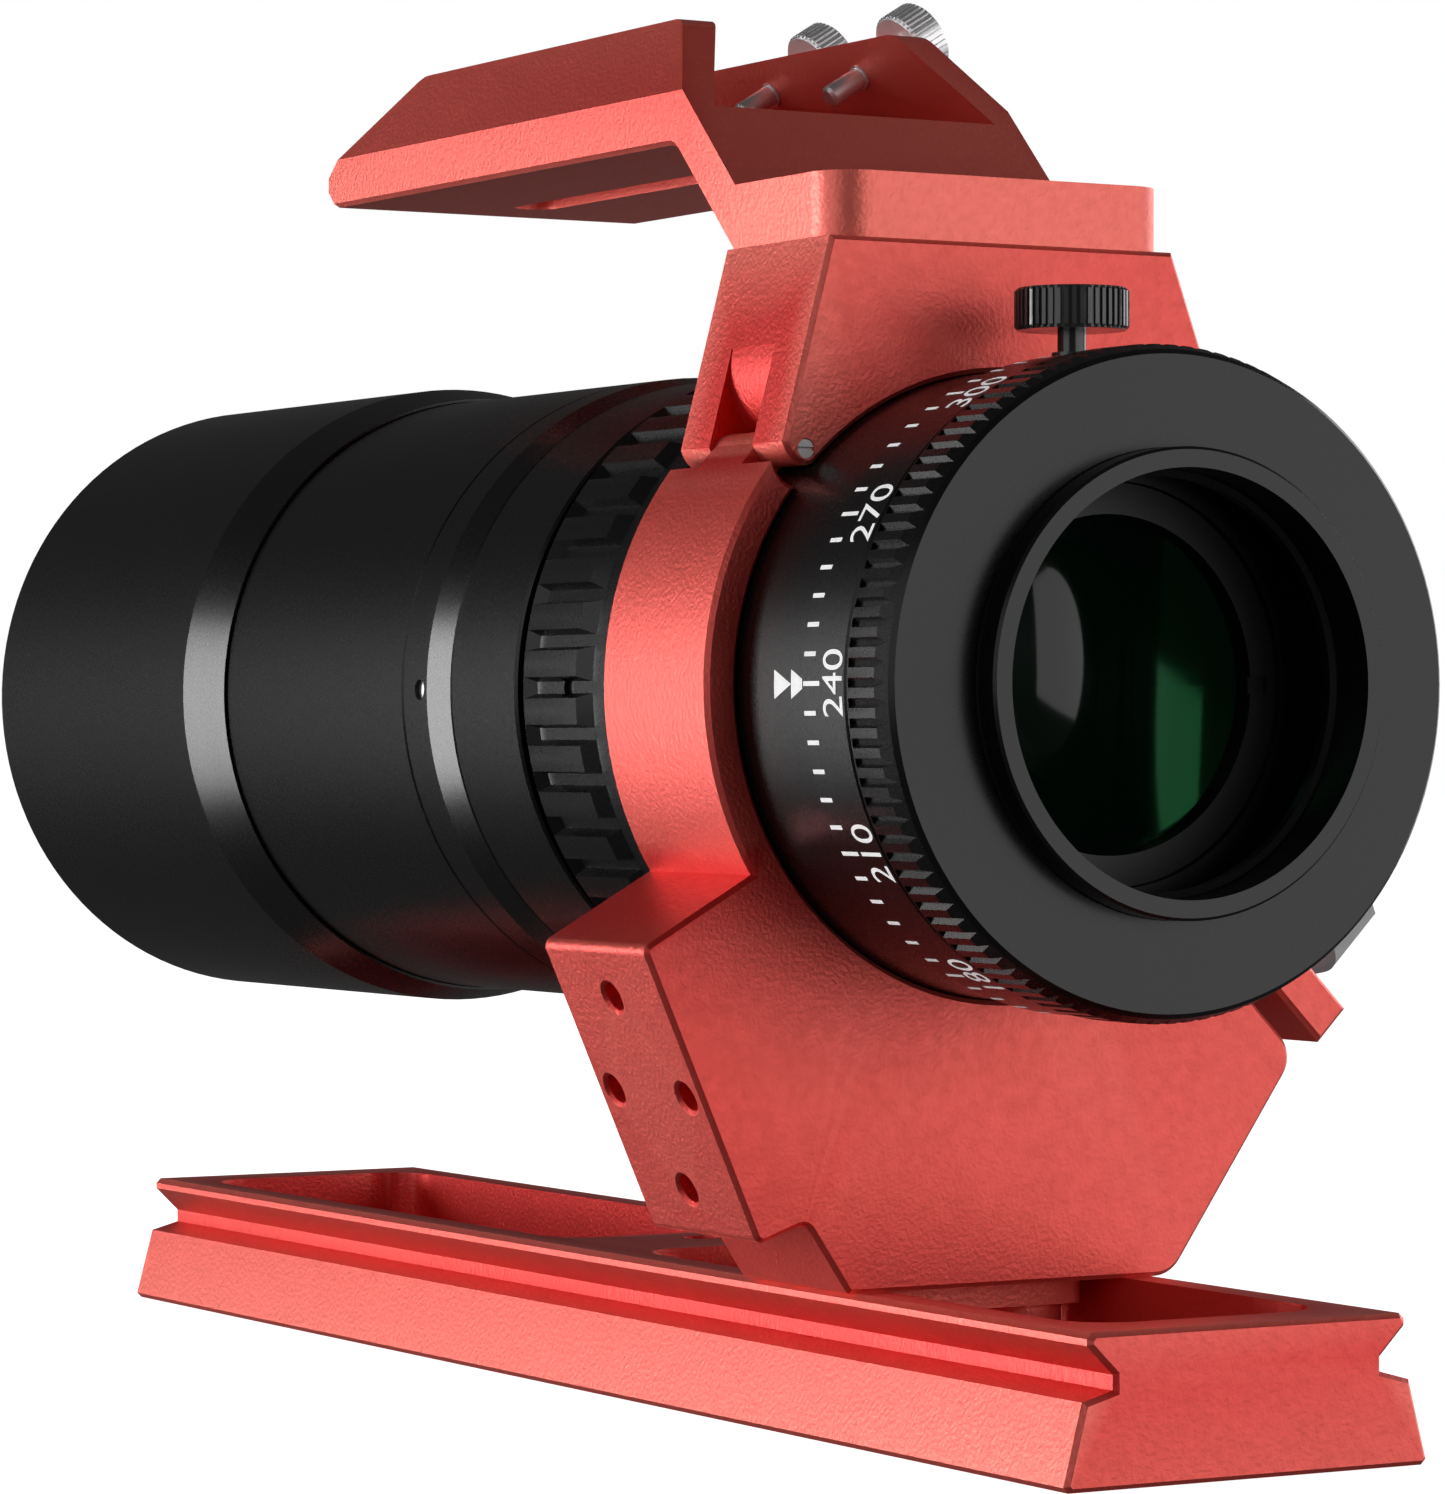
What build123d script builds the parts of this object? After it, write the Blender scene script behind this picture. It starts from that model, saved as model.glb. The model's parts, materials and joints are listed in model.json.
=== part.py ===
from build123d import *
import math
import os

# Short astrograph in a hinged clamshell ring, on a dovetail bar, with an offset accessory saddle.
# Millimetres. +X right, +Y towards the objective, +Z up.
# Origin: centre of the dovetail bar's bottom face.

os.makedirs("parts", exist_ok=True)

# Dovetail bar
BAR_LENGTH = 219.6
BAR_HEIGHT = 15.5
BAR_FLOOR = 4.0
BAR_CHAMFER = 0.5
POCKET_HALF_WIDTH = 15.0
REAR_POCKET = (-103.0, -11.5)
FRONT_POCKET = (5.0, 103.0)
CENTRE_HOLE_R = 2.1

# Tube axis and ring
AXIS_Z = 78.9
RING_BACK = -66.0
RING_FRONT = -44.0
RING_MID = -55.0
BORE_R = 33.3
BAND_R = 37.05
EDGE_CHAMFER = 0.5
SLANT_TOP = (-43.72, 51.8)
SLANT_LOW = (-30.42, 21.7)
PIN_X = -24.96
PIN_Z = 103.43
PIN_R = 1.0
TONGUE_HALF = 4.4
FORK_HALF = 4.5
EAR_R = 1.72
CAP_TOP = 125.8
SPLIT_LOW = -1.64
SPLIT_HIGH = 1.4
LUG_TOP = 6.5
LUG_END = 56.3
CLAMP_RADIUS = 48.0
CLAMP_SHANK_R = 2.5
CLAMP_HOLE_R = 3.1

# Saddle bracket
FOOT_BACK = -65.5
FOOT_TOP = 132.8
SADDLE_HALF = 21.2
SADDLE_UNDER = 138.4
SADDLE_FLOOR = 142.4
JAW_BASE = 144.2
JAW_TOP = 153.4
SADDLE_FRONT = 53.9
JAW_END = 38.6
RISER_REAR = 177.65
RISER_FRONT = 169.85
JAW_SCREW_Y = (-13.7, 6.3)
JAW_SCREW_UP = 8.6
BRACKET_SCREWS = [(-15.0, -60.5), (15.0, -60.5), (-15.0, -50.5), (15.0, -50.5)]

# Tube
SLEEVE_R = 33.15
BODY_R = 36.3
SHIELD_R = 38.28
SHIELD_BACK = 51.0
SHIELD_FRONT = 116.6
FOCUS_BACK = -43.2
FOCUS_FRONT = -23.6
RIB_COUNT = 44
FOCUS_SCREW_Y = -33.4
FOCUS_SCREW_ANGLES = [180 + 15 * i * 360 / RIB_COUNT for i in (-1, 0, 1)]
FLANGE_Y = -96.7
THREAD_Y = -100.0
THREAD_R = 23.9
KNURL_COUNT = 108
LOCK_Y = -78.0
CRADLE_SCREW_X = 8.0

UPWARD = (Align.CENTER, Align.CENTER, Align.MIN)


def save(shape, name):
    export_step(shape, f"parts/{name}.step")


def polygon(points):
    return make_face(Polyline(*points, close=True))


def along_y(face, start, end):
    """Extrude a face drawn as (x, z) in the XZ plane from y = start to y = end."""
    placed = Plane(origin=(0, end, 0), x_dir=(1, 0, 0), z_dir=(0, -1, 0)) * face
    return extrude(placed, amount=end - start)


def along_x(face, half_width):
    """Extrude a face drawn as (y, z) symmetrically about the YZ plane."""
    placed = Plane(origin=(-half_width, 0, 0), x_dir=(0, 1, 0), z_dir=(1, 0, 0)) * face
    return extrude(placed, amount=2 * half_width)


def turned(points):
    """Revolve (radius, y) points about the tube axis."""
    profile = make_face(Polyline(*[(r, y) for r, y in points], close=True))
    solid = revolve(profile, Axis.Y)
    return Pos(0, 0, AXIS_Z) * solid


def rod(start, end, radius):
    """A cylinder from one point to another."""
    a = Vector(*start)
    b = Vector(*end)
    plane = Plane(origin=a, z_dir=(b - a).normalized())
    return plane * Cylinder(radius, (b - a).length, align=UPWARD)


def radial(angle, radius, y):
    """A point at a polar angle and radius about the tube axis."""
    a = math.radians(angle)
    return (radius * math.cos(a), y, AXIS_Z + radius * math.sin(a))


def split_point(radius, height):
    """A point on the clamp: distance out along the split, height above the split plane."""
    k = math.sqrt(0.5)
    return ((radius + height) * k, AXIS_Z + (height - radius) * k)


def clamp_point(radius, height):
    x, z = split_point(radius, height)
    return (x, RING_MID, z)


def bevelled(face, back, front, size):
    """Extrude a face drawn as (x, z) along Y, with a 45 degree bevel round both ends."""
    plate = along_y(face, back + size, front - size)
    frame = {"x_dir": (1, 0, 0), "z_dir": (0, -1, 0)}
    placed = Plane(origin=(0, back + size, 0), **frame) * face
    plate += extrude(placed, amount=size, taper=45)
    placed = Plane(origin=(0, front - size, 0), **frame) * face
    plate += extrude(placed, amount=size, dir=(0, 1, 0), taper=45)
    return plate


def toothed(radius, length, count, depth):
    """A short knob with straight teeth, its axis along Z and its base at the origin."""
    disc = Cylinder(radius, length, align=UPWARD)
    disc = chamfer(disc.edges(), 0.35)
    cutter = Box(2 * depth, math.pi * radius / count, length * 3)
    cutters = [Rot(0, 0, 360 * i / count) * Pos(radius, 0, 0) * cutter for i in range(count)]
    return disc - cutters


# ---------------------------------------------------------------- dovetail bar and its fixings

def dovetail_bar():
    right = [
        (21.4, 0), (22.0, 0.6), (19.82, 8.76), (16.2, 9.73), (16.2, 11.26),
        (19.23, 14.23), (19.23, 14.9), (18.63, BAR_HEIGHT),
    ]
    left = [(-x, z) for x, z in reversed(right)]
    bar = bevelled(polygon(right + left), -BAR_LENGTH / 2, BAR_LENGTH / 2, BAR_CHAMFER)
    for y0, y1 in (REAR_POCKET, FRONT_POCKET):
        outline = RectangleRounded(2 * POCKET_HALF_WIDTH, y1 - y0, 6.0)
        bar -= Pos(0, (y0 + y1) / 2, BAR_FLOOR) * extrude(outline, amount=20)
    bar -= rod((0, -1, BAR_HEIGHT - 8.0), (0, -1, 20), CENTRE_HOLE_R)
    for x in (-CRADLE_SCREW_X, CRADLE_SCREW_X):
        bar -= rod((x, RING_MID, -1), (x, RING_MID, 10), 3.3)
        bar -= Pos(x, RING_MID, 0) * Cone(6.3, 3.3, 3.0, align=UPWARD)
    return bar


def cradle_screws():
    screws = []
    for x in (-CRADLE_SCREW_X, CRADLE_SCREW_X):
        head = Pos(x, RING_MID, 0.25) * Cone(6.0, 3.0, 3.0, align=UPWARD)
        screw = head + rod((x, RING_MID, 3.2), (x, RING_MID, 31.0), 3.0)
        screw -= extrude(Pos(x, RING_MID, 0) * RegularPolygon(2.3, 6), amount=2.2)
        screws.append(screw)
    return Compound(children=screws)


def spacer_posts():
    posts = []
    for x in (-CRADLE_SCREW_X, CRADLE_SCREW_X):
        post = rod((x, RING_MID, BAR_FLOOR), (x, RING_MID, 12.5), 5.0)
        post -= rod((x, RING_MID, 0), (x, RING_MID, 20), 3.3)
        posts.append(post)
    return Compound(children=posts)


def foot_key():
    key = Pos(0, RING_MID, 14.0) * Box(27.0, 11.0, 3.0)
    key = fillet(key.edges().filter_by(Axis.Z), 1.5)
    for x in (-CRADLE_SCREW_X, CRADLE_SCREW_X):
        key -= rod((x, RING_MID, 0), (x, RING_MID, 20), 3.3)
    return key


# ---------------------------------------------------------------- clamshell ring


def slant_hole_points():
    """Four tapped holes in a diamond on the slanted side of the cradle."""
    dx = SLANT_LOW[0] - SLANT_TOP[0]
    dz = SLANT_LOW[1] - SLANT_TOP[1]
    length = math.hypot(dx, dz)
    tx, tz = dx / length, dz / length
    nx, nz = tz, -tx
    points = []
    for along, y in ((5.6, 0.0), (16.7, -7.6), (16.7, 7.6), (27.8, 0.0)):
        x = SLANT_TOP[0] + tx * along + nx * EDGE_CHAMFER
        z = SLANT_TOP[1] + tz * along + nz * EDGE_CHAMFER
        points.append(((x, RING_MID + y, z), (nx, 0.0, nz)))
    return points


def cradle_outline():
    near = [
        (-26.0, 61.8), SLANT_TOP, SLANT_LOW, (-24.7, 23.7), (-19.5, 16.0),
        (20.86, 16.0), (40.5, 43.86), (30.0, AXIS_Z), (0, AXIS_Z),
    ]
    block = offset(polygon(near), EDGE_CHAMFER, kind=Kind.INTERSECTION)
    band = Pos(0, AXIS_Z) * Circle(BAND_R)
    lower_left = polygon([
        (PIN_X * 2, AXIS_Z + (PIN_Z - AXIS_Z) * 2), (0, AXIS_Z), split_point(0, SPLIT_LOW),
        split_point(90, SPLIT_LOW), (60, 0), (-90, 0), (-90, 100),
    ])
    outline = ((band + block) & lower_left) - Pos(0, AXIS_Z) * Circle(BORE_R)
    radii = {(-44.4, 52.0): 1.0, (-30.6, 21.0): 1.0, (-24.6, 24.4): 1.2, (-19.7, 15.5): 0.8,
             (21.2, 15.5): 4.0, (37.7, 39.0): 3.2}
    for (x, z), r in radii.items():
        corner = min(outline.vertices(), key=lambda v: math.hypot(v.X - x, v.Y - z))
        outline = fillet(corner, r)
    return outline


def lower_cradle():
    outline = cradle_outline()
    ears = Pos(PIN_X, PIN_Z) * Circle(4.2)
    plate = along_y(outline - ears, RING_BACK, RING_FRONT)
    rims = [e for e in plate.edges() if abs(abs(e.center().Y - RING_MID) - 11.0) < 1e-4]
    plate = chamfer(rims, EDGE_CHAMFER)
    tongue = (outline & Pos(PIN_X, PIN_Z) * Circle(9.0)) + Pos(PIN_X, PIN_Z) * Circle(2.2)
    tongue -= Pos(0, AXIS_Z) * Circle(BORE_R)
    plate += along_y(tongue, RING_MID - TONGUE_HALF, RING_MID + TONGUE_HALF)
    plate -= rod((PIN_X, RING_BACK - 1, PIN_Z), (PIN_X, RING_FRONT + 1, PIN_Z), PIN_R)
    for (x, y, z), (nx, ny, nz) in slant_hole_points():
        plate -= rod((x + nx, y, z + nz), (x - 8 * nx, y, z - 8 * nz), 1.65)
        mouth = Plane(origin=(x - 0.4 * nx, y, z - 0.4 * nz), z_dir=(nx, 0, nz))
        plate -= mouth * Cone(1.65, 2.25, 0.6, align=UPWARD)
    for x in (-CRADLE_SCREW_X, CRADLE_SCREW_X):
        plate -= rod((x, RING_MID, 10), (x, RING_MID, 32.0), 3.02)
    plate -= rod(clamp_point(CLAMP_RADIUS, 5), clamp_point(CLAMP_RADIUS, -14), 4.3)
    for angle in (190, 235, 280):
        plate -= rod(radial(angle, 30, RING_MID), radial(angle, 35.2, RING_MID), 3.0)
    return plate


def clamp_insert():
    insert = rod(clamp_point(CLAMP_RADIUS, SPLIT_LOW - 0.3), clamp_point(CLAMP_RADIUS, -14), 4.28)
    return insert - rod(clamp_point(CLAMP_RADIUS, 5), clamp_point(CLAMP_RADIUS, -20), CLAMP_HOLE_R)


def pads(angles):
    sleeve = turned([(0, -90), (SLEEVE_R + 0.02, -90), (SLEEVE_R + 0.02, -30), (0, -30)])
    solids = []
    for angle in angles:
        solids.append(rod(radial(angle, 32.5, RING_MID), radial(angle, 35.2, RING_MID), 2.98) - sleeve)
    return Compound(children=solids)


def hinge_pin():
    pin = rod((PIN_X, RING_BACK + 0.2, PIN_Z), (PIN_X, RING_FRONT - 0.2, PIN_Z), PIN_R)
    slot = Pos(PIN_X, RING_BACK + 0.2, PIN_Z) * Box(3, 0.8, 0.4)
    return pin - slot


def around_pin(angle, radius):
    a = math.radians(angle)
    return (PIN_X + radius * math.cos(a), PIN_Z + radius * math.sin(a))


def cap_outline():
    side = around_pin(165, 2.8)
    tip = around_pin(262, EAR_R)
    edge = [
        Polyline(side, (-21.9, CAP_TOP), (21.2, CAP_TOP), (34.95, AXIS_Z + 10), (10, AXIS_Z), tip),
        ThreePointArc(tip, around_pin(215, 1.85), side),
    ]
    block = make_face(edge)
    sector = polygon([
        (0, AXIS_Z), split_point(90, SPLIT_HIGH), (90, AXIS_Z + 60), (0, AXIS_Z + 90),
        (-30, AXIS_Z + 60),
    ])
    band = (Pos(0, AXIS_Z) * Circle(BAND_R)) & sector
    lug = polygon([
        split_point(30, SPLIT_HIGH), split_point(LUG_END, SPLIT_HIGH),
        split_point(LUG_END, LUG_TOP), split_point(30, LUG_TOP),
    ])
    below = polygon([
        split_point(10, SPLIT_HIGH), split_point(90, SPLIT_HIGH),
        split_point(90, -40), split_point(10, -40),
    ])
    swing = polygon([(PIN_X, PIN_Z), around_pin(262, 6), around_pin(314.5, 6)])
    swing -= Pos(PIN_X, PIN_Z) * Circle(EAR_R)
    outline = (block + band + lug) - below - swing
    return outline - Pos(0, AXIS_Z) * Circle(BORE_R)


def jaw_axes():
    """Seat point on the inner face and outward direction of each saddle screw."""
    base = Vector(18.3, 0, SADDLE_FLOOR)
    top = Vector(11.6, 0, JAW_TOP)
    up = (top - base).normalized()
    out = Vector(up.Z, 0, -up.X)
    seats = [base + up * JAW_SCREW_UP + Vector(0, y, 0) for y in JAW_SCREW_Y]
    return seats, out


def upper_cap():
    cap = bevelled(cap_outline().faces()[0], RING_BACK, RING_FRONT, EDGE_CHAMFER)
    centre = (-15.6, 112.2)
    touch = (-24.78, 114.65)
    pocket = polygon([(touch[0] - 10, touch[1] + 2.6), touch, centre, (centre[0], 92), (-45, 92)])
    pocket -= Pos(*centre) * Circle(9.5)
    cap -= along_y(pocket, RING_MID - FORK_HALF, RING_MID + FORK_HALF)
    cap -= rod((PIN_X, RING_BACK - 1, PIN_Z), (PIN_X, RING_FRONT + 1, PIN_Z), PIN_R + 0.04)
    cap -= rod(clamp_point(CLAMP_RADIUS, 0), clamp_point(CLAMP_RADIUS, 10), CLAMP_SHANK_R + 0.05)
    for x, y in BRACKET_SCREWS:
        cap -= rod((x, y, CAP_TOP - 9.5), (x, y, CAP_TOP + 1), 2.02)
    for angle in (45, 90):
        cap -= rod(radial(angle, 30, RING_MID), radial(angle, 35.2, RING_MID), 3.0)
    return cap


def clamp_washer():
    base = clamp_point(CLAMP_RADIUS, LUG_TOP + 0.05)
    washer = rod(base, clamp_point(CLAMP_RADIUS, LUG_TOP + 1.1), 4.6)
    return washer - rod(clamp_point(CLAMP_RADIUS, 0), clamp_point(CLAMP_RADIUS, 20), CLAMP_SHANK_R + 0.02)


def clamp_bolt():
    return rod(clamp_point(CLAMP_RADIUS, -8.0), clamp_point(CLAMP_RADIUS, 13.0), CLAMP_SHANK_R)


def clamp_knob():
    """Neck, flared cone and a six-sided grip with rounded corners."""
    a = Vector(*clamp_point(CLAMP_RADIUS, LUG_TOP + 1.1))
    b = Vector(*clamp_point(CLAMP_RADIUS, 20.0))
    plane = Plane(origin=a, x_dir=(0, 1, 0), z_dir=(b - a).normalized())
    neck = Cylinder(4.6, 2.2, align=UPWARD)
    flare = Pos(0, 0, 1.9) * Cone(7.0, 8.6, 2.2, align=UPWARD)
    grip = Pos(0, 0, 4.0) * extrude(RegularPolygon(8.6, 6), amount=8.4)
    round_off = Cone(7.4, 17.4, 10, align=UPWARD)
    knob = neck + flare + ((grip & Pos(0, 0, 3.2) * round_off))
    knob -= Cylinder(CLAMP_SHANK_R, 11.0)
    return plane * knob


# ---------------------------------------------------------------- offset saddle bracket

def top_bracket():
    side = polygon([
        (FOOT_BACK, CAP_TOP), (CAP_TOP - RISER_FRONT, CAP_TOP),
        (SADDLE_UNDER - RISER_FRONT, SADDLE_UNDER), (SADDLE_FRONT - 2.0, SADDLE_UNDER),
        (SADDLE_FRONT, SADDLE_UNDER + 2.0), (SADDLE_FRONT, SADDLE_UNDER + 3.7),
        (SADDLE_FRONT - 2.5, JAW_BASE), (JAW_END, JAW_TOP),
        (JAW_TOP - RISER_REAR, JAW_TOP), (FOOT_TOP - RISER_REAR, FOOT_TOP), (FOOT_BACK, FOOT_TOP),
    ])
    radii = {
        (JAW_END, JAW_TOP): 4.0,
        (JAW_TOP - RISER_REAR, JAW_TOP): 3.5,
        (SADDLE_UNDER - RISER_FRONT, SADDLE_UNDER): 3.0,
        (SADDLE_FRONT - 2.5, JAW_BASE): 1.5,
    }
    for (y, z), r in radii.items():
        corner = min(side.vertices(), key=lambda v: math.hypot(v.X - y, v.Y - z))
        side = fillet(corner, r)
    bracket = along_x(side, SADDLE_HALF)
    mask = polygon([
        (-SADDLE_HALF, 120), (SADDLE_HALF, 120), (SADDLE_HALF, JAW_BASE), (15.9, JAW_TOP),
        (15.9, 160), (-15.9, 160), (-15.9, JAW_TOP), (-SADDLE_HALF, JAW_BASE),
    ])
    bracket &= along_y(mask, -80, 80)
    channel = polygon([
        (-18.3, SADDLE_FLOOR), (18.3, SADDLE_FLOOR), (11.6, JAW_TOP), (11.0, 160),
        (-11.0, 160), (-11.6, JAW_TOP),
    ])
    bracket -= along_y(channel, -80, 80)
    upright = [e for e in bracket.edges().filter_by(Axis.Z) if abs(e.center().Y - FOOT_BACK) < 1e-3]
    bracket = fillet(upright, 4.7)
    under = [
        e for e in bracket.edges()
        if abs(e.center().Z - SADDLE_UNDER) < 1e-3 and abs(abs(e.center().X) - SADDLE_HALF) < 1e-3
    ]
    bracket = chamfer(under, 0.5)
    slot = Pos(0, 10, SADDLE_UNDER - 1) * extrude(SlotOverall(64.0, 5.3, rotation=90), amount=10)
    bracket -= slot
    for x, y in BRACKET_SCREWS:
        bracket -= rod((x, y, CAP_TOP - 1), (x, y, FOOT_TOP + 1), 2.2)
        bracket -= rod((x, y, FOOT_TOP - 4.3), (x, y, FOOT_TOP + 1), 3.7)
    seats, out = jaw_axes()
    for seat in seats:
        a = seat - out * 2
        b = seat + out * 8
        bracket -= rod(a, b, 1.55)
    return bracket


def bracket_screws():
    screws = []
    for x, y in BRACKET_SCREWS:
        screw = rod((x, y, CAP_TOP - 9.0), (x, y, FOOT_TOP - 4.2), 2.0)
        screw += rod((x, y, FOOT_TOP - 4.3), (x, y, FOOT_TOP - 0.3), 3.5)
        screw -= Pos(x, y, FOOT_TOP - 2.5) * extrude(RegularPolygon(1.73, 6), amount=4)
        screws.append(screw)
    return Compound(children=screws)


def jaw_stud(index):
    seats, out = jaw_axes()
    seat = seats[index]
    plane = Plane(origin=seat - out * 5.2, x_dir=(0, 1, 0), z_dir=out)
    tip = Cone(0.9, 1.25, 0.4, align=UPWARD) + Pos(0, 0, 0.4) * Cylinder(1.25, 4.6, align=UPWARD)
    return plane * (tip + Pos(0, 0, 4.9) * Cylinder(1.5, 8.5, align=UPWARD))


def jaw_knob(index):
    seats, out = jaw_axes()
    plane = Plane(origin=seats[index] + out * 6.3, x_dir=(0, 1, 0), z_dir=out)
    knob = toothed(4.4, 3.9, 40, 0.25)
    knob -= Cylinder(1.5, 2 * 1.9)
    return plane * knob


# ---------------------------------------------------------------- tube

def rear_sleeve():
    """Outer sleeve under the ring, with the spigot that carries the focusing ring."""
    sleeve = turned([
        (30.0, -80.0), (SLEEVE_R, -80.0), (SLEEVE_R, FOCUS_BACK - 0.3),
        (31.6, FOCUS_BACK - 0.3), (31.6, -16.0), (30.0, -16.0), (30.0, -48.0), (28.0, -48.0),
        (28.0, -58.0), (30.0, -58.0), (30.0, -67.8), (31.0, -67.8), (31.0, -69.2), (30.0, -69.2),
    ])
    sleeve -= rod((0, LOCK_Y, AXIS_Z + 29), (0, LOCK_Y, AXIS_Z + 34), 1.55)
    for angle in (90, 210, 330):
        a = radial(angle, 29, -35.3)
        b = radial(angle, 29, -30.7)
        hole = rod(a, radial(angle, 33, -35.3), 1.3) + rod(b, radial(angle, 33, -30.7), 1.3)
        sleeve -= hole
        sleeve -= Pos(0, 0, AXIS_Z) * Rot(0, -angle, 0) * Pos(31, -33, 0) * Box(4, 4.6, 2.6)
    return sleeve


def main_tube():
    tube = turned([
        (31.65, -16.0), (31.65, -21.6), (35.2, -21.6), (35.5, -21.3), (35.5, -6.6), (35.2, -6.5),
        (35.2, -6.3), (35.45, -6.0), (BODY_R, -1.9), (BODY_R, 3.85), (BODY_R - 0.2, 4.0),
        (BODY_R - 0.2, 4.2), (BODY_R, 4.4), (BODY_R, 72.0), (33.5, 72.0), (33.5, -8.0), (31.65, -8.0),
    ])
    for angle in (60, 180, 300):
        tube -= rod(radial(angle, 33, -0.1), radial(angle, 38, -0.1), 1.15)
    return tube


def set_screws(angles, y, inner, outer, radius):
    return Compound(children=[rod(radial(a, inner, y), radial(a, outer, y), radius) for a in angles])


def tube_baffles():
    rings = []
    for y, inner in ((14.0, 27.0), (34.0, 28.5)):
        rings.append(turned([(inner, y), (33.4, y), (33.4, y + 2.0), (inner + 1.5, y + 2.0)]))
    return Compound(children=rings)


def focus_ring():
    ring = turned([
        (31.7, FOCUS_BACK), (35.2, FOCUS_BACK), (35.2, -38.7), (BODY_R, -36.8), (BODY_R, -25.0),
        (35.4, -24.6), (35.4, FOCUS_FRONT), (31.7, FOCUS_FRONT), (31.7, -29.0), (33.2, -29.0),
        (33.2, -37.0), (31.7, -37.0),
    ])
    side = extrude(polygon([(35.22, -39), (35.22, -26.3), (37.2, -24.0), (37.2, -39)]), 3, both=True)
    across = along_y(polygon([(35, -0.55), (35, 0.55), (37.2, 1.6), (37.2, -1.6)]), -39, -24)
    groove = side & across
    grooves = []
    for i in range(RIB_COUNT):
        grooves.append(Pos(0, 0, AXIS_Z) * Rot(0, -360 * i / RIB_COUNT, 0) * groove)
    ring -= grooves
    for angle in FOCUS_SCREW_ANGLES:
        ring -= rod(radial(angle, 33, FOCUS_SCREW_Y), radial(angle, 38, FOCUS_SCREW_Y), 1.1)
    return ring


def focus_cell():
    cell = turned([
        (26.0, -45.0), (29.95, -45.0), (29.95, -18.0), (27.4, -18.0), (27.4, -27.0), (26.0, -28.0),
    ])
    for angle in (90, 210, 330):
        cell -= rod(radial(angle, 28.0, -33), radial(angle, 33, -33), 1.22)
    return cell


def guide_pins():
    pins = [rod(radial(a, 28.05, -33), radial(a, 32.9, -33), 1.2) for a in (90, 210, 330)]
    return Compound(children=pins)


def lens(radius, back_y, front_y, back_bulge, front_bulge):
    """A lens with curved faces; a bulge above zero is convex."""
    steps = 8
    points = []
    for i in range(steps + 1):
        r = radius * i / steps
        points.append((r, back_y - back_bulge * (1 - (r / radius) ** 2)))
    for i in range(steps, -1, -1):
        r = radius * i / steps
        points.append((r, front_y + front_bulge * (1 - (r / radius) ** 2)))
    back = Spline(*points[:steps + 1], tangents=[(1, 0), (1, 2 * back_bulge / radius)])
    edge = Line(points[steps], points[steps + 1])
    front = Spline(*points[steps + 1:], tangents=[(-1, 2 * front_bulge / radius), (-1, 0)])
    shaft = Line(points[-1], points[0])
    return Pos(0, 0, AXIS_Z) * revolve(make_face([back, edge, front, shaft]), Axis.Y)


def retainer(inner, outer, y0, y1, notch_y):
    """Threaded retaining ring with two spanner notches."""
    ring = turned([(inner, y0), (outer, y0), (outer, y1), (inner, y1)])
    for side in (-1, 1):
        ring -= Pos(side * (inner + 0.8), notch_y, AXIS_Z) * Box(2.4, 1.4, 1.8)
    return ring


def rear_cell():
    return turned([
        (21.0, -86.0), (26.6, -86.0), (26.6, -61.0), (29.9, -61.0), (29.9, -58.1),
        (24.0, -58.1), (24.0, -72.5), (18.2, -73.5), (18.2, -75.5), (21.0, -75.5),
    ])


def front_cell():
    return turned([
        (28.5, 50.0), (33.45, 50.0), (33.45, 72.05), (BODY_R, 72.05), (BODY_R, 75.0),
        (31.4, 75.0), (31.4, 52.5), (28.5, 52.5),
    ])


def objective_spacers():
    rings = [turned([(29.6, y), (31.3, y), (31.3, y + 0.6), (29.6, y + 0.6)]) for y in (58.5, 65.2)]
    return Compound(children=rings)


def dew_shield():
    return turned([
        (36.4, SHIELD_BACK), (36.7, SHIELD_BACK), (SHIELD_R, 59.3), (SHIELD_R, SHIELD_FRONT - 0.5),
        (SHIELD_R - 0.4, SHIELD_FRONT), (37.3, SHIELD_FRONT), (37.0, SHIELD_FRONT - 0.4), (37.0, 76.0),
        (36.4, 75.4), (36.4, 70.0), (37.2, 70.0), (37.2, 63.0), (36.4, 63.0),
    ])


def shield_felt():
    return turned([(36.35, 63.05), (37.18, 63.05), (37.18, 69.95), (36.35, 69.95)])


# ---------------------------------------------------------------- camera rotator

def rotator_ring():
    ring = turned([
        (27.0, -67.0), (29.9, -67.0), (29.9, -68.0), (29.0, -68.0), (29.0, -69.0), (29.9, -69.0),
        (29.9, -80.3), (34.1, -80.3), (34.2, -80.4), (34.2, -88.4), (33.9, -88.7), (33.9, -89.2),
        (34.5, -89.5), (34.5, -94.6), (33.9, -96.2), (33.4, FLANGE_Y), (23.95, FLANGE_Y),
        (23.95, -91.5), (27.0, -91.5),
    ])
    groove = Pos(34.5, -93.4, 0) * Rot(0, 45, 0) * Box(0.7, 7.4, 0.7)
    grooves = []
    for i in range(KNURL_COUNT):
        grooves.append(Pos(0, 0, AXIS_Z) * Rot(0, -360 * i / KNURL_COUNT, 0) * groove)
    return ring - grooves


def rotator_clip():
    clip = turned([(29.05, -68.9), (30.8, -68.9), (30.8, -68.1), (29.05, -68.1)])
    return clip - Pos(0, -68.5, AXIS_Z - 30) * Box(4, 3, 6)


def m48_adapter():
    return turned([
        (21.8, THREAD_Y), (23.6, THREAD_Y), (THREAD_R, THREAD_Y + 0.3), (THREAD_R, -97.2),
        (23.5, -97.1), (23.5, -96.6), (23.85, -96.4), (23.85, -91.6), (22.6, -91.6),
        (22.6, -92.6), (21.2, -93.0), (21.2, -94.2), (21.8, -94.6),
    ])


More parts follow.
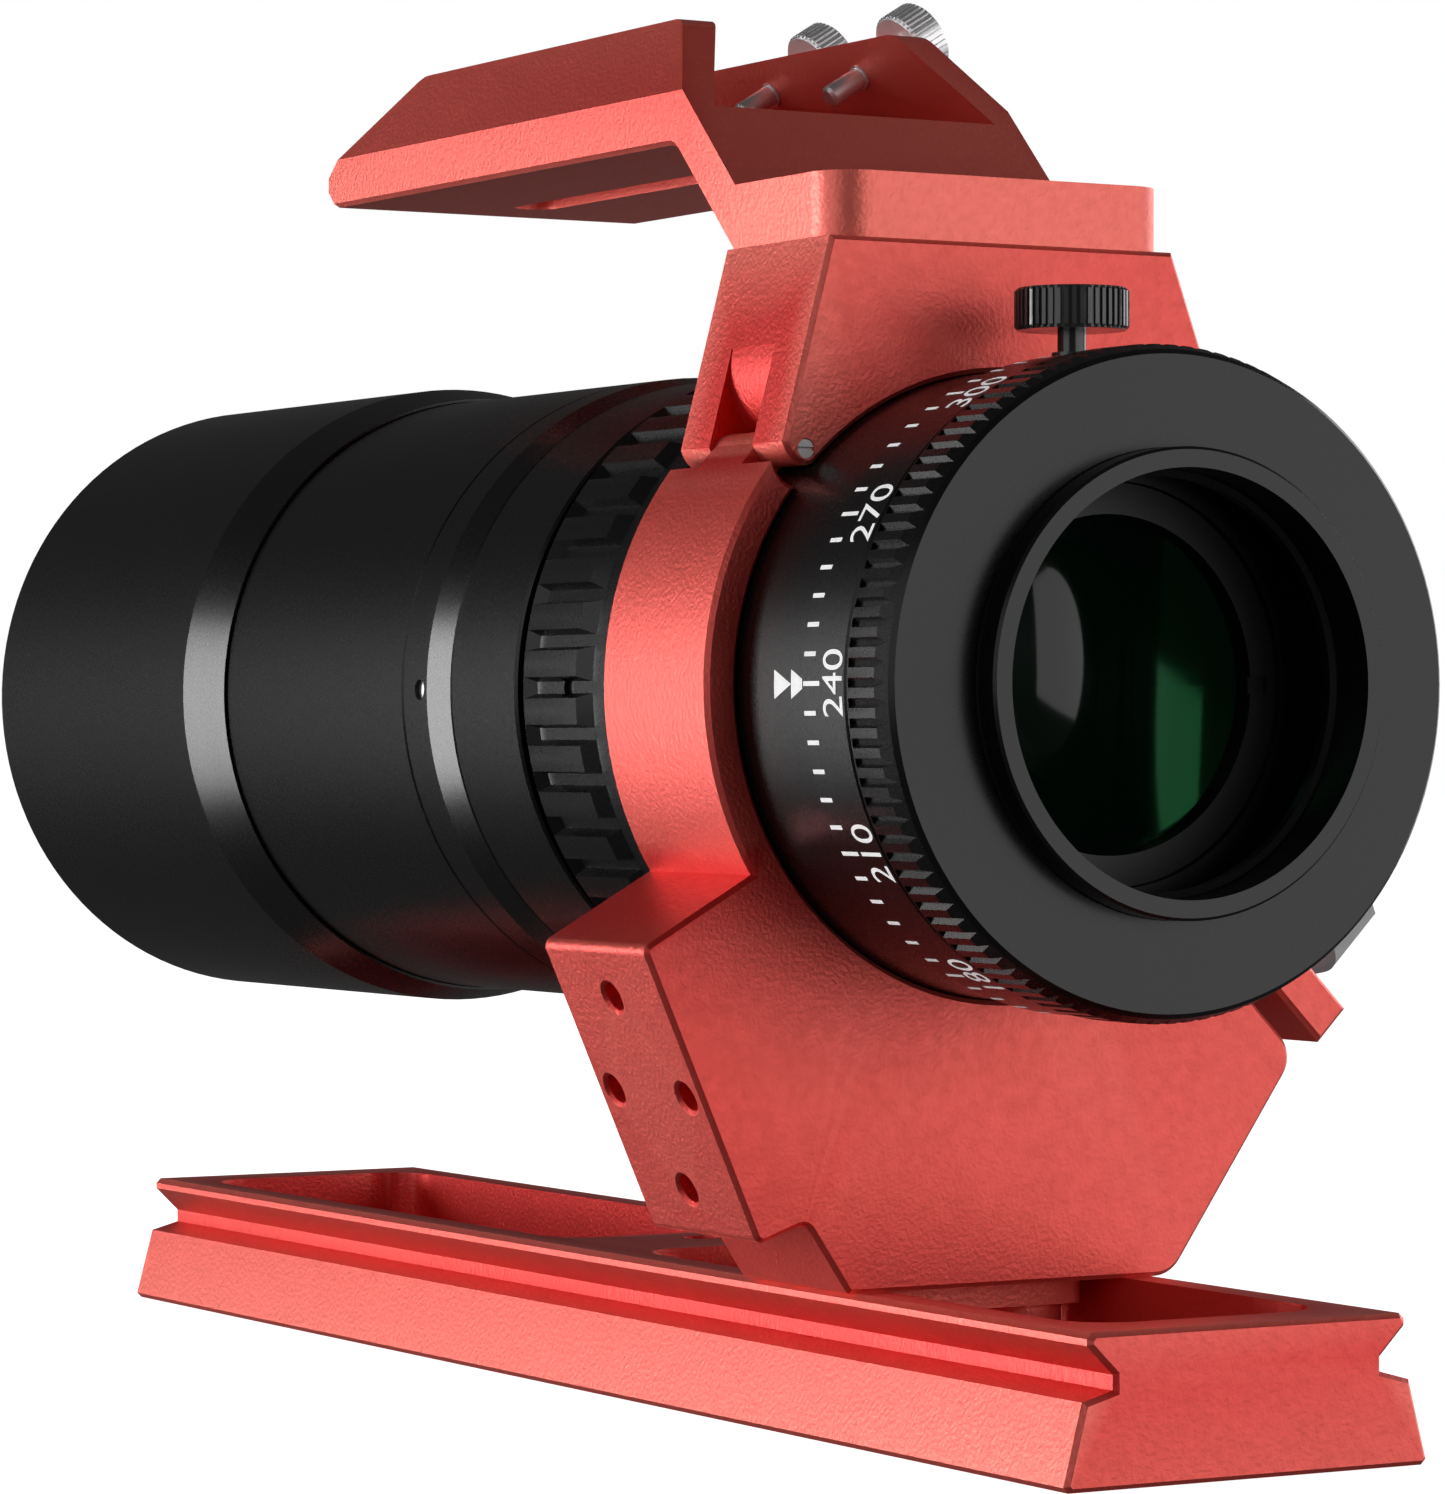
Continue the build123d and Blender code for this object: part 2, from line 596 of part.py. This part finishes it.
def lock_stud():
    stud = rod((0, LOCK_Y, AXIS_Z + 29.93), (0, LOCK_Y, AXIS_Z + 38.6), 1.5)
    collar = rod((0, LOCK_Y, AXIS_Z + 33.6), (0, LOCK_Y, AXIS_Z + 34.6), 2.1)
    return stud + collar


def lock_knob():
    knob = Pos(0, LOCK_Y, AXIS_Z + 36.9) * toothed(6.0, 4.4, 46, 0.3)
    return knob - rod((0, LOCK_Y, AXIS_Z + 30), (0, LOCK_Y, AXIS_Z + 38.6), 1.5)


parts = {
    "dovetail_bar": dovetail_bar(),
    "cradle_screws": cradle_screws(),
    "spacer_posts": spacer_posts(),
    "foot_key": foot_key(),
    "lower_cradle": lower_cradle(),
    "clamp_insert": clamp_insert(),
    "cradle_pads": pads((190, 235, 280)),
    "hinge_pin": hinge_pin(),
    "upper_cap": upper_cap(),
    "cap_pads": pads((45, 90)),
    "top_bracket": top_bracket(),
    "bracket_screws": bracket_screws(),
    "clamp_washer": clamp_washer(),
    "clamp_bolt": clamp_bolt(),
    "clamp_knob": clamp_knob(),
    "jaw_stud_rear": jaw_stud(0),
    "jaw_knob_rear": jaw_knob(0),
    "jaw_stud_front": jaw_stud(1),
    "jaw_knob_front": jaw_knob(1),
    "rear_sleeve": rear_sleeve(),
    "main_tube": main_tube(),
    "body_set_screws": set_screws((60, 180, 300), -0.1, 34.2, 35.7, 1.13),
    "tube_baffles": tube_baffles(),
    "focus_ring": focus_ring(),
    "focus_set_screws": set_screws(FOCUS_SCREW_ANGLES, FOCUS_SCREW_Y, 33.5, 34.6, 1.08),
    "focus_cell": focus_cell(),
    "guide_pins": guide_pins(),
    "focus_lens": lens(27.3, -26.5, -22.0, 0.0, 2.2),
    "focus_retainer": retainer(25.2, 27.3, -21.6, -20.0, -19.8),
    "rear_cell": rear_cell(),
    "rear_lens": lens(20.9, -81.8, -75.6, 2.4, 0.0),
    "rear_retainer": retainer(17.6, 20.9, -85.2, -82.7, -85.4),
    "front_cell": front_cell(),
    "objective_rear": lens(31.2, 52.6, 58.4, -1.2, 0.0),
    "objective_middle": lens(31.2, 59.2, 65.1, 0.0, 0.0),
    "objective_front": lens(31.2, 65.9, 70.4, 0.0, 2.6),
    "objective_spacers": objective_spacers(),
    "objective_retainer": retainer(29.2, 31.3, 70.8, 73.2, 73.4),
    "dew_shield": dew_shield(),
    "shield_felt": shield_felt(),
    "rotator_ring": rotator_ring(),
    "rotator_clip": rotator_clip(),
    "m48_adapter": m48_adapter(),
    "lock_stud": lock_stud(),
    "lock_knob": lock_knob(),
}

for name, shape in parts.items():
    save(shape, name)
    print(name, round(shape.volume, 1), shape.is_valid)
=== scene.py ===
import bpy
import json
import math
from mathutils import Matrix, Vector


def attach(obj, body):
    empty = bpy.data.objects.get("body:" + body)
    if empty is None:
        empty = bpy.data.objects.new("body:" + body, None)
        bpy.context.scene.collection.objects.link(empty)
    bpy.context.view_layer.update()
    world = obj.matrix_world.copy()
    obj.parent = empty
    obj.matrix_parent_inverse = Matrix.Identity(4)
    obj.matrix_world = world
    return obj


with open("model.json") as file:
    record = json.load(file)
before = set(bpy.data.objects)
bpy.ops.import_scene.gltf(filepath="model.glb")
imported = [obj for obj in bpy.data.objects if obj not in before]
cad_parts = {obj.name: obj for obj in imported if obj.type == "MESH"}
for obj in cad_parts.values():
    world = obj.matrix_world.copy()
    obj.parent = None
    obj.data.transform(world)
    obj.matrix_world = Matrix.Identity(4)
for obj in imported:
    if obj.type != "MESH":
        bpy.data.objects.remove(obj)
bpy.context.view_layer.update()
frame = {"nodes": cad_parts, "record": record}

nodes = frame["nodes"]
MM = 0.001
AXIS_Z = 78.9               # the tube's axis above the ground, mm

CAMERA_PLACE = (-0.31958, -0.55477, 0.07336)
CAMERA_YAW = 30.205         # degrees to the right of +Y
CAMERA_LENS = 132.7         # mm, on a 36 mm wide sensor
CAMERA_SHIFT = -0.0055

GROUND = -0.0003            # the floor is just under the bar, m
FLOOR_HALF = 7.0
DOME_RADIUS = 6.5
DOME_DROP = 0.05            # the dome starts a little under the floor
DOME_ROWS = 8
DOME_COLUMNS = 32
WORLD_STOPS = ((0.30, 0.05), (0.50, 0.11), (0.68, 0.05))    # height from 0 down to 1 up, then grey level
LIGHT_TARGET = (0.0, -0.02, 0.08)
LIGHTS = (                  # name, place, size in m, power in W
    ("front_left", (-1.03, 0.80, 0.0), (0.40, 0.9), 12.5),
    ("left", (-1.30, -0.30, 0.38), (1.2, 0.9), 3.2),
    ("rear_right", (0.85, -1.30, 0.15), (2.2, 1.5), 14.0),
    ("right", (1.5, 0.3, 0.30), (1.1, 1.0), 7.0),
)

GLASS_TINT = (0.10, 0.70, 0.25)
SCALE_RADIUS = 34.23        # the print stands just proud of the rotator ring, mm
DIGIT_RADIUS = 34.24
ARROW_RADIUS = 33.18        # just proud of the rear sleeve
SCALE_STEP = 5              # degrees between marks
SCALE_LABEL = 30            # degrees between long marks, and between numbers
INDEX_ANGLE = 180           # polar angle of the arrows about the tube's axis
INDEX_VALUE = 240           # the number that the arrows point at
MARK_HALF_WIDTH = 0.40      # degrees
MARK_START = -80.7          # y in mm, like the two below
MARK_END = -82.9
LONG_MARK_END = -83.8


# ---------------------------------------------------------------- camera, floor and light

def make_camera():
    data = bpy.data.cameras.new("camera")
    data.lens = CAMERA_LENS
    data.sensor_width = 36.0
    data.shift_y = CAMERA_SHIFT
    data.clip_start = 0.01
    data.clip_end = 50.0
    camera = bpy.data.objects.new("camera", data)
    bpy.context.scene.collection.objects.link(camera)
    camera.location = CAMERA_PLACE
    camera.rotation_euler = (math.pi / 2, 0.0, -math.radians(CAMERA_YAW))
    bpy.context.scene.camera = camera


def area_light(name, place, size, power):
    data = bpy.data.lights.new(name, "AREA")
    data.shape = "RECTANGLE"
    data.size, data.size_y = size
    data.energy = power
    light = bpy.data.objects.new(name, data)
    bpy.context.scene.collection.objects.link(light)
    light.location = place
    light.visible_camera = False
    aim = Vector(LIGHT_TARGET) - Vector(place)
    light.rotation_euler = aim.to_track_quat("-Z", "Y").to_euler()


def glowing(name, colour, glow):
    material = bpy.data.materials.new(name)
    material.use_nodes = True
    shader = material.node_tree.nodes["Principled BSDF"]
    shader.inputs["Base Color"].default_value = (*colour, 1.0)
    shader.inputs["Roughness"].default_value = 0.9
    shader.inputs["Specular IOR Level"].default_value = 0.0
    shader.inputs["Emission Color"].default_value = (1.0, 1.0, 1.0, 1.0)
    shader.inputs["Emission Strength"].default_value = glow
    return material


def studio_surface(name, points, faces, material):
    """Part of the pale surroundings: seen by the camera, with no bounce onto the object."""
    piece = mesh_piece(name, points, faces)
    piece.data.materials.append(material)
    piece.visible_diffuse = False
    piece.visible_glossy = False
    piece.visible_transmission = False
    piece.visible_shadow = False


def make_floor():
    half = FLOOR_HALF
    corners = [(-half, -half, GROUND), (half, -half, GROUND), (half, half, GROUND), (-half, half, GROUND)]
    studio_surface("floor", corners, [(0, 1, 2, 3)], glowing("floor", (0.85, 0.85, 0.85), 1.0))


def make_backdrop():
    points, faces = [], []
    for row in range(DOME_ROWS + 1):
        rise = math.pi / 2 * row / DOME_ROWS
        reach = DOME_RADIUS * math.cos(rise)
        height = DOME_RADIUS * math.sin(rise) - DOME_DROP
        for column in range(DOME_COLUMNS):
            turn = 2 * math.pi * column / DOME_COLUMNS
            points.append((reach * math.cos(turn), reach * math.sin(turn), height))
    for row in range(DOME_ROWS):
        for column in range(DOME_COLUMNS):
            a = row * DOME_COLUMNS + column
            b = row * DOME_COLUMNS + (column + 1) % DOME_COLUMNS
            faces.append((a, b, b + DOME_COLUMNS, a + DOME_COLUMNS))
    studio_surface("backdrop", points, faces, glowing("backdrop", (0.0, 0.0, 0.0), 1.0))


def make_world():
    world = bpy.data.worlds.new("studio")
    bpy.context.scene.world = world
    world.use_nodes = True
    tree = world.node_tree
    coords = tree.nodes.new("ShaderNodeTexCoord")
    split = tree.nodes.new("ShaderNodeSeparateXYZ")
    ramp = tree.nodes.new("ShaderNodeValToRGB")
    remap = tree.nodes.new("ShaderNodeMapRange")
    remap.inputs["From Min"].default_value = -1.0
    tree.links.new(coords.outputs["Generated"], split.inputs[0])
    tree.links.new(split.outputs["Z"], remap.inputs["Value"])
    tree.links.new(remap.outputs["Result"], ramp.inputs["Fac"])
    stops = ramp.color_ramp.elements
    stops.new(0.5)
    for stop, (place, level) in zip(stops, WORLD_STOPS):
        stop.position = place
        stop.color = (level, level, level, 1.0)
    tree.links.new(ramp.outputs["Color"], tree.nodes["Background"].inputs["Color"])


def make_studio():
    bpy.context.scene.view_settings.view_transform = "Standard"
    make_floor()
    make_backdrop()
    make_world()
    for light in LIGHTS:
        area_light(*light)


# ---------------------------------------------------------------- materials

class Recipe:
    """A principled material with helpers for grain, bump, highlights painted on edges and curved
    reflections.
    """

    def __init__(self, name):
        self.material = bpy.data.materials.new(name)
        self.material.use_nodes = True
        self.tree = self.material.node_tree
        self.shader = self.tree.nodes["Principled BSDF"]
        self.coords = self.tree.nodes.new("ShaderNodeTexCoord")

    def set(self, **values):
        for key, value in values.items():
            self.shader.inputs[key.replace("_", " ")].default_value = value
        return self

    def noise(self, scale, detail=2.0):
        """Noise per metre in the object's own coordinates."""
        node = self.tree.nodes.new("ShaderNodeTexNoise")
        node.inputs["Scale"].default_value = scale
        node.inputs["Detail"].default_value = detail
        self.tree.links.new(self.coords.outputs["Object"], node.inputs["Vector"])
        return node.outputs["Fac"]

    def remap(self, value, low, high, start=0.3, end=0.7):
        node = self.tree.nodes.new("ShaderNodeMapRange")
        node.inputs["From Min"].default_value = start
        node.inputs["From Max"].default_value = end
        node.inputs["To Min"].default_value = low
        node.inputs["To Max"].default_value = high
        self.tree.links.new(value, node.inputs["Value"])
        return node.outputs["Result"]

    def blend(self, factor, a, b):
        node = self.tree.nodes.new("ShaderNodeMix")
        node.data_type = "RGBA"
        self.tree.links.new(factor, node.inputs["Factor"])
        for value, socket in ((a, node.inputs["A"]), (b, node.inputs["B"])):
            if isinstance(value, tuple):
                socket.default_value = (*value, 1.0)
            else:
                self.tree.links.new(value, socket)
        return node.outputs["Result"]

    def edges(self, low, high):
        """A mask of convex edges from the surface's pointiness, where highlights are painted."""
        node = self.tree.nodes.new("ShaderNodeNewGeometry")
        return self.remap(node.outputs["Pointiness"], 0.0, 1.0, low, high)

    def colour(self, value):
        self.tree.links.new(value, self.shader.inputs["Base Color"])

    def roughness(self, value):
        self.tree.links.new(value, self.shader.inputs["Roughness"])

    def bump(self, height, strength, distance):
        node = self.tree.nodes.new("ShaderNodeBump")
        node.inputs["Strength"].default_value = strength
        node.inputs["Distance"].default_value = distance
        self.tree.links.new(height, node.inputs["Height"])
        self.tree.links.new(node.outputs["Normal"], self.shader.inputs["Normal"])


    def bowl(self, centre, stretch, radius):
        """A shading normal that bends like a bowl of this radius in metres; a dome when it is negative."""
        shift = self.tree.nodes.new("ShaderNodeVectorMath")
        shift.operation = "SUBTRACT"
        shift.inputs[1].default_value = centre
        squeeze = self.tree.nodes.new("ShaderNodeVectorMath")
        squeeze.operation = "MULTIPLY"
        squeeze.inputs[1].default_value = stretch
        square = self.tree.nodes.new("ShaderNodeVectorMath")
        square.operation = "DOT_PRODUCT"
        depth = self.tree.nodes.new("ShaderNodeMath")
        depth.operation = "MULTIPLY"
        depth.inputs[1].default_value = 0.5 / radius
        node = self.tree.nodes.new("ShaderNodeBump")
        node.inputs["Distance"].default_value = 1.0
        self.tree.links.new(self.coords.outputs["Object"], shift.inputs[0])
        self.tree.links.new(shift.outputs["Vector"], squeeze.inputs[0])
        self.tree.links.new(squeeze.outputs["Vector"], square.inputs[0])
        self.tree.links.new(squeeze.outputs["Vector"], square.inputs[1])
        self.tree.links.new(square.outputs["Value"], depth.inputs[0])
        self.tree.links.new(depth.outputs["Value"], node.inputs["Height"])
        return node.outputs["Normal"]


def red_anodised():
    r = Recipe("red_anodised")
    tone = r.remap(r.noise(60, 3), 0.0, 1.0)
    base = r.blend(tone, (0.71, 0.014, 0.010), (0.77, 0.023, 0.015))
    # painted highlight: convex edges are blended towards a light red, as where chamfers catch the light
    r.colour(r.blend(r.edges(0.53, 0.60), base, (0.92, 0.16, 0.12)))
    r.roughness(r.remap(r.noise(900, 2), 0.40, 0.50))
    r.bump(r.noise(2000, 2), 0.60, 0.00015)
    return r.set(Metallic=0.60, Specular_IOR_Level=0.8, Coat_Weight=0.30, Coat_Roughness=0.42).material


def black_anodised(name, base, rough, strength):
    r = Recipe(name)
    tone = r.remap(r.noise(80, 3), 0.0, 1.0)
    mixed = r.blend(tone, base, tuple(1.2 * c for c in base))
    r.colour(mixed)
    r.roughness(r.remap(r.noise(3500, 2), rough - 0.015, rough + 0.015))
    r.bump(r.noise(5000, 2), strength, 0.00005)
    return r.set(Metallic=0.0, Specular_IOR_Level=0.42).material


def black_gloss():
    r = Recipe("black_gloss")
    # painted highlight: convex edges are blended towards a lighter grey, as where edges catch the light
    r.colour(r.blend(r.edges(0.52, 0.60), (0.012, 0.012, 0.013), (0.05, 0.05, 0.05)))
    r.roughness(r.remap(r.noise(400, 3), 0.14, 0.24))
    r.bump(r.noise(1800, 2), 0.08, 0.0001)
    return r.set(Specular_IOR_Level=0.7).material


def bright_metal(name, base, rough):
    r = Recipe(name)
    tone = r.remap(r.noise(500, 3), 0.0, 1.0)
    r.colour(r.blend(tone, tuple(0.95 * c for c in base), base))
    r.roughness(r.remap(r.noise(900, 2), rough - 0.03, rough + 0.04))
    r.bump(r.noise(2500, 2), 0.03, 0.0001)
    return r.set(Metallic=0.8).material


def lens_glass(name, piece):
    """Coated glass with a near-black colour painted for the shade seen through it. Its shading normals curve
    more than the lens: a dome for the coat, a bowl below.
    """
    r = Recipe(name)
    painted_shade_tone = r.remap(r.noise(30, 2), 0.0, 1.0)
    # painted shade: the near-black colour stands in for the dark seen through the glass, with a random tone
    r.colour(r.blend(painted_shade_tone, (0.0010, 0.0045, 0.0020), (0.0016, 0.0065, 0.0030)))
    r.roughness(r.remap(r.noise(200, 2), 0.10, 0.13))
    corners = [Vector(c) for c in piece.bound_box]
    centre = sum(corners, Vector()) / 8
    # the dome is centred up to the left of the lens, the bowl down to the right
    outer = r.bowl(centre + Vector((-0.0055, 0.0, 0.0065)), (1.5, 0.0, 0.8), -0.027)
    inner = r.bowl(centre + Vector((0.0060, 0.0, -0.0075)), (1.4, 0.0, 0.9), 0.026)
    r.tree.links.new(outer, r.shader.inputs["Coat Normal"])
    r.tree.links.new(inner, r.shader.inputs["Normal"])
    r.set(Coat_Weight=0.8, Coat_Roughness=0.10, IOR=1.6)
    r.shader.inputs["Specular Tint"].default_value = (*GLASS_TINT, 1.0)
    return r.material


def plain(name, base, rough, grain, strength):
    r = Recipe(name)
    tone = r.remap(r.noise(grain / 8, 3), 0.0, 1.0)
    r.colour(r.blend(tone, tuple(0.9 * c for c in base), base))
    r.roughness(r.remap(r.noise(grain, 2), rough - 0.05, rough + 0.05))
    r.bump(r.noise(grain * 3, 2), strength, 0.0002)
    return r.material


def white_print():
    r = Recipe("white_print")
    tone = r.remap(r.noise(500, 3), 0.0, 1.0)
    r.colour(r.blend(tone, (0.86, 0.86, 0.86), (0.93, 0.93, 0.93)))
    r.roughness(r.remap(r.noise(900, 2), 0.5, 0.65))
    # painted light: a little emission makes the print glow, though it is no lamp
    r.shader.inputs["Emission Color"].default_value = (1.0, 1.0, 1.0, 1.0)
    r.shader.inputs["Emission Strength"].default_value = 0.25
    r.bump(r.noise(3000, 2), 0.1, 0.0001)
    return r.material


def paint_nodes():
    red = red_anodised()
    tube = black_anodised("black_anodised", (0.0035, 0.0035, 0.0038), 0.28, 0.04)
    inside = black_anodised("black_inside", (0.003, 0.003, 0.0032), 0.45, 0.06)
    screw_black = black_anodised("black_screw", (0.020, 0.020, 0.020), 0.35, 0.1)
    gloss = black_gloss()
    silver = bright_metal("silver", (0.93, 0.93, 0.94), 0.38)
    steel = bright_metal("screw_steel", (0.90, 0.90, 0.91), 0.40)
    brass = bright_metal("brass_insert", (0.72, 0.50, 0.20), 0.3)
    pad = plain("bearing_pad", (0.80, 0.80, 0.76), 0.5, 900, 0.1)
    felt = plain("felt", (0.012, 0.012, 0.012), 0.95, 1500, 0.8)
    rear_glass = lens_glass("lens_glass_rear", nodes["rear_lens"])
    front_glass = lens_glass("lens_glass", nodes["objective_front"])
    finish = {
        "red_anodised": red, "black_anodised": tube, "black_inside": inside, "black_gloss": gloss,
        "silver": silver, "screw_steel": steel, "black_screw": screw_black, "brass_insert": brass,
        "bearing_pad": pad, "lens_glass": front_glass, "felt": felt,
    }
    slots = {row["node"]: row["material_slot"] for row in frame["record"]["subparts"]}
    for name, piece in nodes.items():
        material = rear_glass if name == "rear_lens" else finish[slots[name]]
        for i in range(len(piece.material_slots)):
            piece.material_slots[i].link = "OBJECT"
            piece.material_slots[i].material = material


# ---------------------------------------------------------------- pieces

def mesh_piece(name, points, faces):
    mesh = bpy.data.meshes.new(name)
    mesh.from_pydata(points, [], faces)
    mesh.update()
    piece = bpy.data.objects.new(name, mesh)
    bpy.context.scene.collection.objects.link(piece)
    return piece


def on_tube(radius, angle, y):
    """A point on the tube: polar angle in degrees about the tube axis, y in millimetres."""
    a = math.radians(angle)
    return (radius * math.cos(a) * MM, y * MM, (AXIS_Z + radius * math.sin(a)) * MM)


def curved_patch(radius, corners, steps):
    """A strip between two (angle, y) corners that follows the tube in a number of flat steps."""
    (a0, y0), (a1, y1) = corners
    points = []
    for i in range(steps + 1):
        a = a0 + (a1 - a0) * i / steps
        points += [on_tube(radius, a, y0), on_tube(radius, a, y1)]
    faces = [(2 * i, 2 * i + 2, 2 * i + 3, 2 * i + 1) for i in range(steps)]
    return points, faces


def printed(name, patches, material, body):
    """Patches of print joined into one piece that moves with a body."""
    points, faces = [], []
    for p, f in patches:
        start = len(points)
        points += p
        faces += [tuple(i + start for i in face) for face in f]
    piece = mesh_piece(name, points, faces)
    piece.data.materials.append(material)
    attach(piece, body)


def dial_angle(value):
    """Polar angle about the tube's axis of a number on the rotator's scale."""
    return INDEX_ANGLE - (value - INDEX_VALUE)


def scale_marks(material):
    patches = []
    for value in range(0, 360, SCALE_STEP):
        angle = dial_angle(value)
        end = LONG_MARK_END if value % SCALE_LABEL == 0 else MARK_END
        corners = ((angle - MARK_HALF_WIDTH, MARK_START), (angle + MARK_HALF_WIDTH, end))
        patches.append(curved_patch(SCALE_RADIUS, corners, 2))
    printed("scale_marks", patches, material, "rotator")


def index_arrows(material):
    half = 2.6      # degrees at the base
    rows = 6
    patches = []
    for base, tip in ((-73.2, -76.55), (-76.55, -79.8)):
        points = [on_tube(ARROW_RADIUS, INDEX_ANGLE, tip)]
        for k in range(1, rows + 1):
            y = tip + (base - tip) * k / rows
            h = half * k / rows
            points += [on_tube(ARROW_RADIUS, INDEX_ANGLE + side * h, y) for side in (1, 0, -1)]
        faces = [(0, 1, 2), (0, 2, 3)]
        for k in range(rows - 1):
            i = 1 + 3 * k
            faces += [(i, i + 3, i + 4, i + 1), (i + 1, i + 4, i + 5, i + 2)]
        patches.append((points, faces))
    printed("index_arrows", patches, material, "barrel")


def scale_numbers(material):
    height = 3.75       # along the tube, mm
    foot = -88.15       # where the digits stand, y in mm
    squeeze = 0.88      # narrower than the font
    patches = []
    for value in range(0, 360, SCALE_LABEL):
        curve = bpy.data.curves.new("digits", "FONT")
        curve.body = str(value)
        curve.align_x = "CENTER"
        curve.resolution_u = 8
        text = bpy.data.objects.new("digits", curve)
        bpy.context.scene.collection.objects.link(text)
        bpy.context.view_layer.update()
        mesh = bpy.data.meshes.new_from_object(text)
        top = max(v.co.y for v in mesh.vertices)
        low = min(v.co.y for v in mesh.vertices)
        grow = height / (top - low)
        points = []
        for v in mesh.vertices:
            turn = math.degrees(v.co.x * grow * squeeze / DIGIT_RADIUS)
            y = foot + (v.co.y - low) * grow
            points.append(on_tube(DIGIT_RADIUS, dial_angle(value) - turn, y))
        patches.append((points, [tuple(p.vertices) for p in mesh.polygons]))
        bpy.data.objects.remove(text)
        bpy.data.curves.remove(curve)
        bpy.data.meshes.remove(mesh)
    printed("scale_numbers", patches, material, "rotator")


make_camera()
make_studio()
paint_nodes()
print_material = white_print()
scale_marks(print_material)
index_arrows(print_material)
scale_numbers(print_material)
